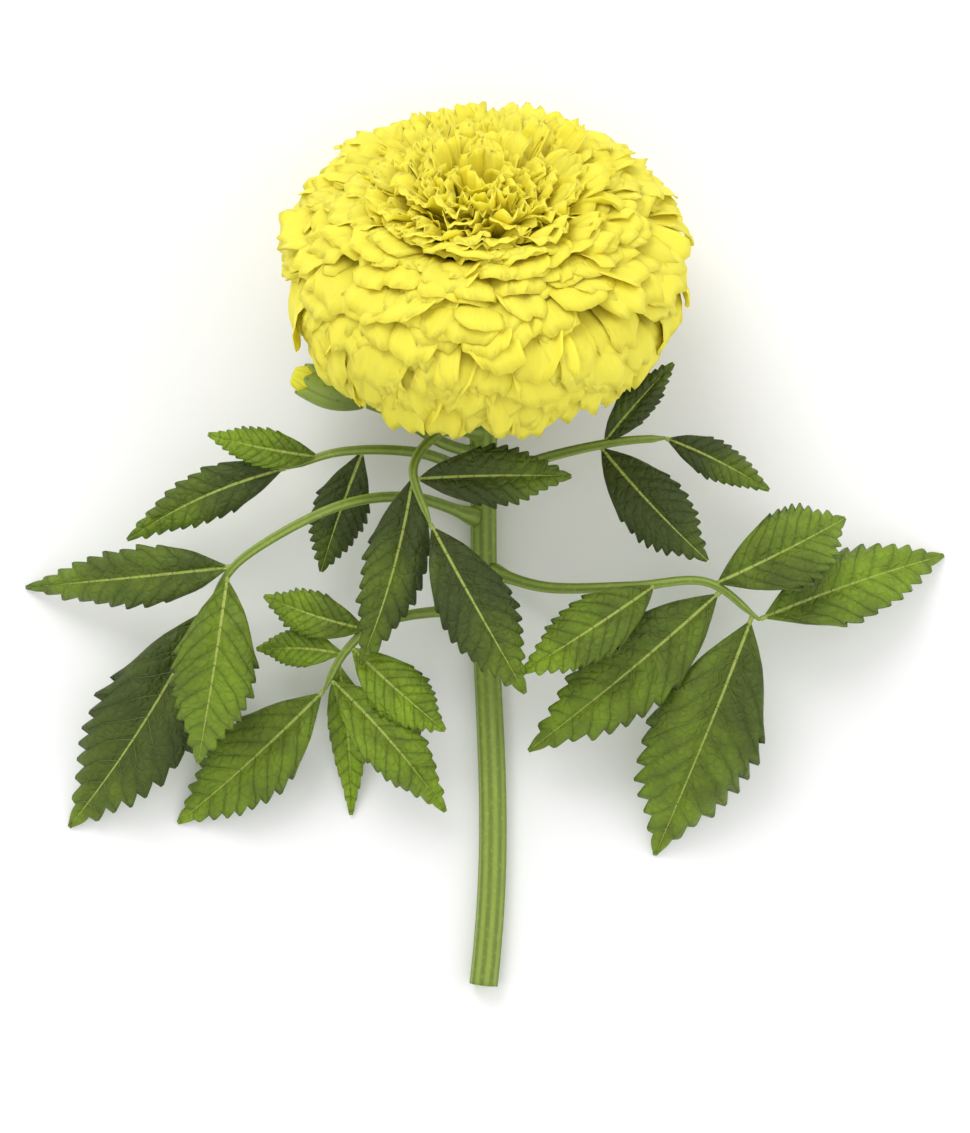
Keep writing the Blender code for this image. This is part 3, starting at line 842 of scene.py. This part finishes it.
def make_leaves(leaf, finish):
    dull, bright, vein, tooth = finish.leaf_dull, finish.leaf_bright, finish.vein, finish.tooth
    pale = [0.45 * a + 0.55 * b for a, b in zip(bright, (0.36, 0.48, 0.18))]
    upper = leaf_material("leaf_upper", dull, bright, vein, tooth, roughness=0.48)
    under = leaf_material("leaf_under", pale, pale, vein, tooth, roughness=0.65)
    stalk_finish = stem_material("stalk_green", finish.stem, finish.stem_dark, STALK_RIDGES)
    rng = np.random.default_rng(leaf.seed)
    for name, (joins_y, knots, *leaflets) in LEAVES.items():
        path = stalk_path(joins_y, knots, 60)
        make_stalk(f"stalk_{name}", path, STALK_RADIUS, 0.5, stalk_finish, f"leaf_{name}_stalk")
        # A finer path, so that leaflets sit at their exact share of the stalk.
        fine = stalk_path(joins_y, knots, 400)
        for row in leaflets:
            make_leaflet(leaf, name, fine, row, (upper, under), rng)


def cup_material(name, finish):
    """Bract cup: ribs along its seams, a yellow-green blush to the mouth and scattered dark oil glands.

    The third number of the attribute place is the count of bracts.
    """
    made = Nodes(name)
    along, around, bracts = made.places()
    rib = made.maths("PINGPONG", made.maths("MULTIPLY_ADD", around, bracts, 0.5), 0.5)
    body = made.mix(made.spread(along, 0.1, 0.9), finish.stem_dark, finish.stem)
    body = made.mix(made.spread(rib, 0.0, 0.12, 0.7, 0.0), body, finish.stem_dark)
    glands = made.spread(made.cells(scale=420.0), 0.12, 0.26, 0.65, 0.0)
    body = made.mix(glands, body, (0.10, 0.12, 0.02))
    made.relief(made.noise(scale=800.0), distance=0.00012, strength=0.6)
    made.surface(roughness=0.48, specular=0.45, subsurface=0.08, radius=(0.6, 1.0, 0.3), depth=0.001)
    return made.colour(body)


def cup_mesh(name, profile, heights, bracts, wall, tooth, place, material):
    """A cup of fused bracts turned about its axis; place is a function from its own frame to the world.

    The wall follows the profile of radii over the heights and comes back inside it. It is pressed in along
    the seams between bracts, and the mouth rises to a pointed tooth over each bract.
    """
    columns = bracts * POINTS_PER_BRACT
    share = np.linspace(0, 1, len(profile))
    turn = turns(columns)
    seam = np.abs(np.cos(bracts * turn / 2))[None]
    press = 0.04 * profile.max() * (1 - seam**0.5) * share[:, None] ** 0.5
    floor = wall * 2 * (1 - share)
    walls = []
    for radius, h, part in (
        (profile[:, None] - press, heights, share),
        (profile[::-1, None] - wall - press[::-1], (heights + floor)[::-1], share[::-1]),
    ):
        rise = tooth * seam**1.5 * ease((part[:, None] - 0.80) / 0.20)
        walls.append(np.stack([radius * np.cos(turn), radius * np.sin(turn), h[:, None] + rise], -1))
    rings = np.concatenate(walls)[:, ::-1]
    ends = end_faces(len(rings), columns)
    along = np.repeat(np.concatenate([share, share[::-1]]), columns)
    around = np.tile(np.arange(columns)[::-1] / columns, len(rings))
    values = {"place": np.stack([along, around, 0 * along + bracts], -1)}
    return add_mesh(name, place(rings), grid_faces(len(rings), columns), ends, values, (material,))


def make_cup(finish):
    """The bloom's cup: a bell that swells as a quarter sine and flares by a cube at its mouth."""
    share = np.linspace(0, 1, 26)
    swell = np.sin(np.clip(share * 1.25, 0, 1) * math.pi / 2) ** 0.75
    profile = CUP_FOOT_RADIUS + CUP_SWELL * swell + CUP_FLARE * share**3
    heights = CUP_BASE_H + (CUP_MOUTH_H - CUP_BASE_H) * share**1.15
    skin = cup_material("bract_cup", finish)
    piece = cup_mesh("bract_cup", profile, heights, CUP_BRACTS, CUP_WALL, CUP_TOOTH, head_to_world, skin)
    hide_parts("involucre")
    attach(piece, BODY)


def make_bud(finish):
    """The side bud: its stalk, its cup and the pleated, still folded petal tips at the cup's mouth.

    The cup swells and closes again as a sine over its length. The tips narrow as a cosine, with winding
    pleats.
    """
    path = stalk_path(BUD_JOINS_Y, BUD_STALK, 40)
    green = stem_material("bud_green", finish.stem, finish.stem_dark, STALK_RIDGES)
    make_stalk("bud_stem", path, BUD_STALK_RADIUS, 0.0, green, "bud_stalk")
    ahead, side, up = (directions[-1] for directions in path_frame(path))
    axes = np.stack([up, side, ahead])

    share = np.linspace(0, 1, 24)
    profile = BUD_FOOT_RADIUS + (BUD_RADIUS - BUD_FOOT_RADIUS) * np.sin(math.pi * share * 0.74) ** 0.8
    skin = cup_material("bud_bracts", finish)

    def place(points):
        return path[-1] + points @ axes

    heights = share * BUD_LENGTH
    cup = cup_mesh("bud_cup_ribbed", profile, heights, BUD_BRACTS, BUD_WALL, BUD_TOOTH, place, skin)
    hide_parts("bud_cup")
    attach(cup, BODY)

    share = np.linspace(0, 1, 18)
    radius = BUD_TIPS_RADIUS * np.cos(share * 1.2) ** 0.6
    around = BUD_PLEATS * turns(BUD_PLEATS * 8)
    pleat = 1 + 0.12 * np.cos(around[None, :] + 2.5 * share[:, None]) * np.sqrt(share[:, None])
    spine = path[-1] + np.outer(BUD_LENGTH - BUD_TIPS_SUNK + share * BUD_TIPS_LENGTH, ahead)
    folded = petal_material("petal_folded", finish.petal_folded, finish.petal_deep)
    petals = rod_mesh("bud_petal_tips", spine, radius[:, None] * pleat, (folded,), domed=0.3)
    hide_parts("bud_petals")
    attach(petals, BODY)


# ---- stage


def floor_material(colour):
    """Plain pale floor, with a change too slight to see as a pattern."""
    made = Nodes("pale_floor")
    body = made.mix(made.noise(scale=3.0, detail=2.0), [c * 0.995 for c in colour], colour)
    made.surface(roughness=0.9, specular=0.1)
    return made.colour(body)


def area_light(name, place, target, size, power):
    """A round soft light, aimed at the target."""
    data = bpy.data.lights.new(name, "AREA")
    data.shape = "DISK"
    data.size = size
    data.energy = power
    lamp = add_object(name, data)
    lamp.location = place
    lamp.rotation_euler = look(np.asarray(place) - np.asarray(target))


def look(back):
    """Euler angles that turn a lamp's or camera's -Z against the given direction, with +Y kept upmost."""
    x, y, z = back
    return (math.atan2(math.hypot(x, y), z), 0.0, math.atan2(y, x) + math.pi / 2)


def make_stage(stage):
    """The floor, an even sky, two soft lights and the camera, which looks at the flower's middle."""
    corners = np.array([(-1, -1, 0), (1, -1, 0), (1, 1, 0), (-1, 1, 0)], float) * FLOOR_SIZE / 2 / MM
    floor = add_mesh("floor", corners, np.array([[0, 1, 2, 3]]), (), None, (floor_material(stage.floor),))

    scene = bpy.context.scene
    scene.view_settings.view_transform = "Standard"
    world = bpy.data.worlds.new("studio")
    world.use_nodes = True
    sky = world.node_tree.nodes["Background"]
    sky.inputs["Color"].default_value = (1.0, 1.0, 1.0, 1.0)
    sky.inputs["Strength"].default_value = stage.fill
    scene.world = world
    middle = (0.0, 0.0, 0.03)
    area_light("key", (-0.35, 0.75, 0.95), middle, size=0.7, power=stage.key)
    area_light("side", (0.9, 0.2, 0.8), middle, size=0.8, power=stage.key * SIDE_LIGHT_SHARE)

    data = bpy.data.cameras.new("camera")
    data.lens = stage.lens
    camera = add_object("camera", data)
    low, high = (np.array(corner) for corner in CAD_BOX)
    middle = (low + high) / 2
    aim = np.array((middle[0], middle[1] + stage.aim_up, AIM_Z))
    distance = stage.frame_height * data.lens / data.sensor_width
    back = np.array((0.0, -math.cos(stage.elevation), math.sin(stage.elevation)))
    camera.location = aim + back * distance
    camera.rotation_euler = look(back)
    scene.camera = camera


# ---- settings


def mm(value):
    """A Blender length as millimetres."""
    return value / MM


def number(name, description, default, **kind):
    return bpy.props.FloatProperty(name=name, description=description, default=default, **kind)


def length(name, description, default):
    return number(name, description, default, min=0.0, unit="LENGTH", precision=4)


def whole(name, description, default, least=0):
    return bpy.props.IntProperty(name=name, description=description, default=default, min=least)


def colour(name, description, default):
    return bpy.props.FloatVectorProperty(
        name=name, description=description, default=default, size=3, min=0.0, max=1.0, subtype="COLOR"
    )


class MarigoldBloomSettings(bpy.types.PropertyGroup):
    radius: length("Radius", "Half the bloom's width", 0.049)
    dome_height: length("Dome height", "Height of the bloom above its widest plane", 0.027)
    skirt_depth: length("Skirt depth", "How far the profile would reach below the widest plane", 0.042)
    dimple: length("Dimple", "Depth of the hollow at the centre", 0.0015)
    side_width: length("Side floret width", "Width of the florets on the sides", 0.0124)
    centre_width: length("Centre floret width", "Unrolled width of the folded centre florets", 0.0098)
    side_showing: length("Side showing", "Side of the square that one side floret shows", 0.0064)
    centre_showing: length("Centre showing", "Side of the square that one centre floret shows", 0.0040)
    ruffle: length("Ruffle", "Height of the waves at a floret's margin", 0.0010)
    petal_thickness: length("Petal thickness", "Thickness of a floret's blade", 0.00028)
    rows: whole("Rows", "Grid rows along a floret", 9, 5)
    columns: whole("Columns", "Grid columns across a floret", 11, 5)
    seed: whole("Seed", "Seed of the florets' small differences", 8)


class MarigoldLeafSettings(bpy.types.PropertyGroup):
    teeth: whole("Teeth", "Teeth on each side of a leaflet", 10, 4)
    rows_per_tooth: whole("Rows per tooth", "Grid rows along each tooth", 6, 4)
    columns: whole("Columns", "Grid columns across a leaflet", 19, 7)
    tooth_depth: number("Tooth depth", "Depth of a tooth as a share of the leaflet's width", 0.085)
    fold: number("Fold", "Rise of the blade per unit of distance from the midrib", 0.34)
    quilting: length("Quilting", "Height of the puffs between side veins", 0.00032)
    thickness: length("Thickness", "Thickness of a leaflet's blade", 0.0004)
    seed: whole("Seed", "Seed of the leaflets' small differences", 3)


class MarigoldStemSettings(bpy.types.PropertyGroup):
    ridges: whole("Ridges", "Ridges round the stem", 9, 3)
    rings: whole("Rings", "Grid rings along the stem", 120, 12)


class MarigoldFinishSettings(bpy.types.PropertyGroup):
    petal: colour("Petal", "Petal blade", (0.86, 0.76, 0.072))
    petal_folded: colour("Folded petal", "Petal tips still in the bud", (0.66, 0.66, 0.05))
    petal_deep: colour("Petal claw", "Petal towards its foot", (0.82, 0.70, 0.045))
    leaf_dull: colour("Dull leaf", "Older, greyer leaf", (0.045, 0.066, 0.010))
    leaf_bright: colour("Bright leaf", "Younger leaf", (0.220, 0.345, 0.014))
    vein: colour("Vein", "Midrib and side veins", (0.36, 0.44, 0.09))
    tooth: colour("Tooth", "Leaf margin", (0.05, 0.08, 0.015))
    stem: colour("Stem", "Stem and stalks", (0.24, 0.33, 0.045))
    stem_dark: colour("Stem furrow", "Furrows of the stem", (0.13, 0.19, 0.022))
    pith: colour("Pith", "Pale middle of the cut", (0.62, 0.70, 0.38))


class MarigoldStageSettings(bpy.types.PropertyGroup):
    floor: colour("Floor", "Plain pale floor", (0.88, 0.88, 0.88))
    fill: number("Fill", "Strength of the even light", 1.0)
    key: number("Key", "Power of the main light", 5.4, unit="POWER")
    lens: number("Lens", "Focal length in millimetres", 135.0)
    frame_height: length("Frame height", "Height of the surface that the picture takes in", 0.277)
    aim_up: number("Aim", "How far past the middle the camera aims", -0.0045, unit="LENGTH")
    elevation: number("Elevation", "Camera above the horizon", math.radians(88.0), subtype="ANGLE")


# ---- operators and panel


class MARIGOLD_OT_florets(bpy.types.Operator):
    """Builds the ray florets, ring by ring"""

    bl_idname = "marigold.florets"
    bl_label = "Ray florets"

    def execute(self, context):
        make_florets(context.scene.marigold_bloom, context.scene.marigold_finish)
        return {"FINISHED"}


class MARIGOLD_OT_receptacle(bpy.types.Operator):
    """Finishes the receptacle that carries the florets"""

    bl_idname = "marigold.receptacle"
    bl_label = "Receptacle"

    def execute(self, context):
        finish_receptacle()
        return {"FINISHED"}


class MARIGOLD_OT_cup(bpy.types.Operator):
    """Builds the cup of fused bracts under the bloom"""

    bl_idname = "marigold.cup"
    bl_label = "Bract cup"

    def execute(self, context):
        make_cup(context.scene.marigold_finish)
        return {"FINISHED"}


class MARIGOLD_OT_stem(bpy.types.Operator):
    """Builds the ribbed stem, from the cup to the cut"""

    bl_idname = "marigold.stem"
    bl_label = "Stem"

    def execute(self, context):
        make_stem(context.scene.marigold_stem, context.scene.marigold_finish)
        return {"FINISHED"}


class MARIGOLD_OT_leaves(bpy.types.Operator):
    """Builds the pinnate leaves: stalks and toothed leaflets"""

    bl_idname = "marigold.leaves"
    bl_label = "Leaves"

    def execute(self, context):
        make_leaves(context.scene.marigold_leaf, context.scene.marigold_finish)
        return {"FINISHED"}


class MARIGOLD_OT_bud(bpy.types.Operator):
    """Builds the side bud on its stalk"""

    bl_idname = "marigold.bud"
    bl_label = "Side bud"

    def execute(self, context):
        make_bud(context.scene.marigold_finish)
        return {"FINISHED"}


class MARIGOLD_OT_stage(bpy.types.Operator):
    """Sets the floor, lights and camera"""

    bl_idname = "marigold.stage"
    bl_label = "Stage"

    def execute(self, context):
        make_stage(context.scene.marigold_stage)
        return {"FINISHED"}


OPERATORS = (
    MARIGOLD_OT_florets,
    MARIGOLD_OT_receptacle,
    MARIGOLD_OT_cup,
    MARIGOLD_OT_stem,
    MARIGOLD_OT_leaves,
    MARIGOLD_OT_bud,
    MARIGOLD_OT_stage,
)
SETTINGS = {
    "marigold_bloom": MarigoldBloomSettings,
    "marigold_leaf": MarigoldLeafSettings,
    "marigold_stem": MarigoldStemSettings,
    "marigold_finish": MarigoldFinishSettings,
    "marigold_stage": MarigoldStageSettings,
}


class MARIGOLD_PT_panel(bpy.types.Panel):
    """Lists the pieces and their settings"""

    bl_label = "Marigold"
    bl_idname = "MARIGOLD_PT_panel"
    bl_space_type = "VIEW_3D"
    bl_region_type = "UI"
    bl_category = "Marigold"

    def draw(self, context):
        for operator in OPERATORS:
            self.layout.operator(operator.bl_idname)
        for key, group in SETTINGS.items():
            box = self.layout.box()
            for prop in group.__annotations__:
                box.prop(getattr(context.scene, key), prop)


def register():
    for kind in (*SETTINGS.values(), *OPERATORS, MARIGOLD_PT_panel):
        bpy.utils.register_class(kind)
    for key, group in SETTINGS.items():
        setattr(bpy.types.Scene, key, bpy.props.PointerProperty(type=group))


def unregister():
    for key in SETTINGS:
        delattr(bpy.types.Scene, key)
    for kind in (MARIGOLD_PT_panel, *OPERATORS, *SETTINGS.values()):
        bpy.utils.unregister_class(kind)


def main():
    register()
    bpy.ops.marigold.stage()
    bpy.ops.marigold.florets()
    bpy.ops.marigold.receptacle()
    bpy.ops.marigold.cup()
    bpy.ops.marigold.stem()
    bpy.ops.marigold.leaves()
    bpy.ops.marigold.bud()


if __name__ == "__main__":
    main()
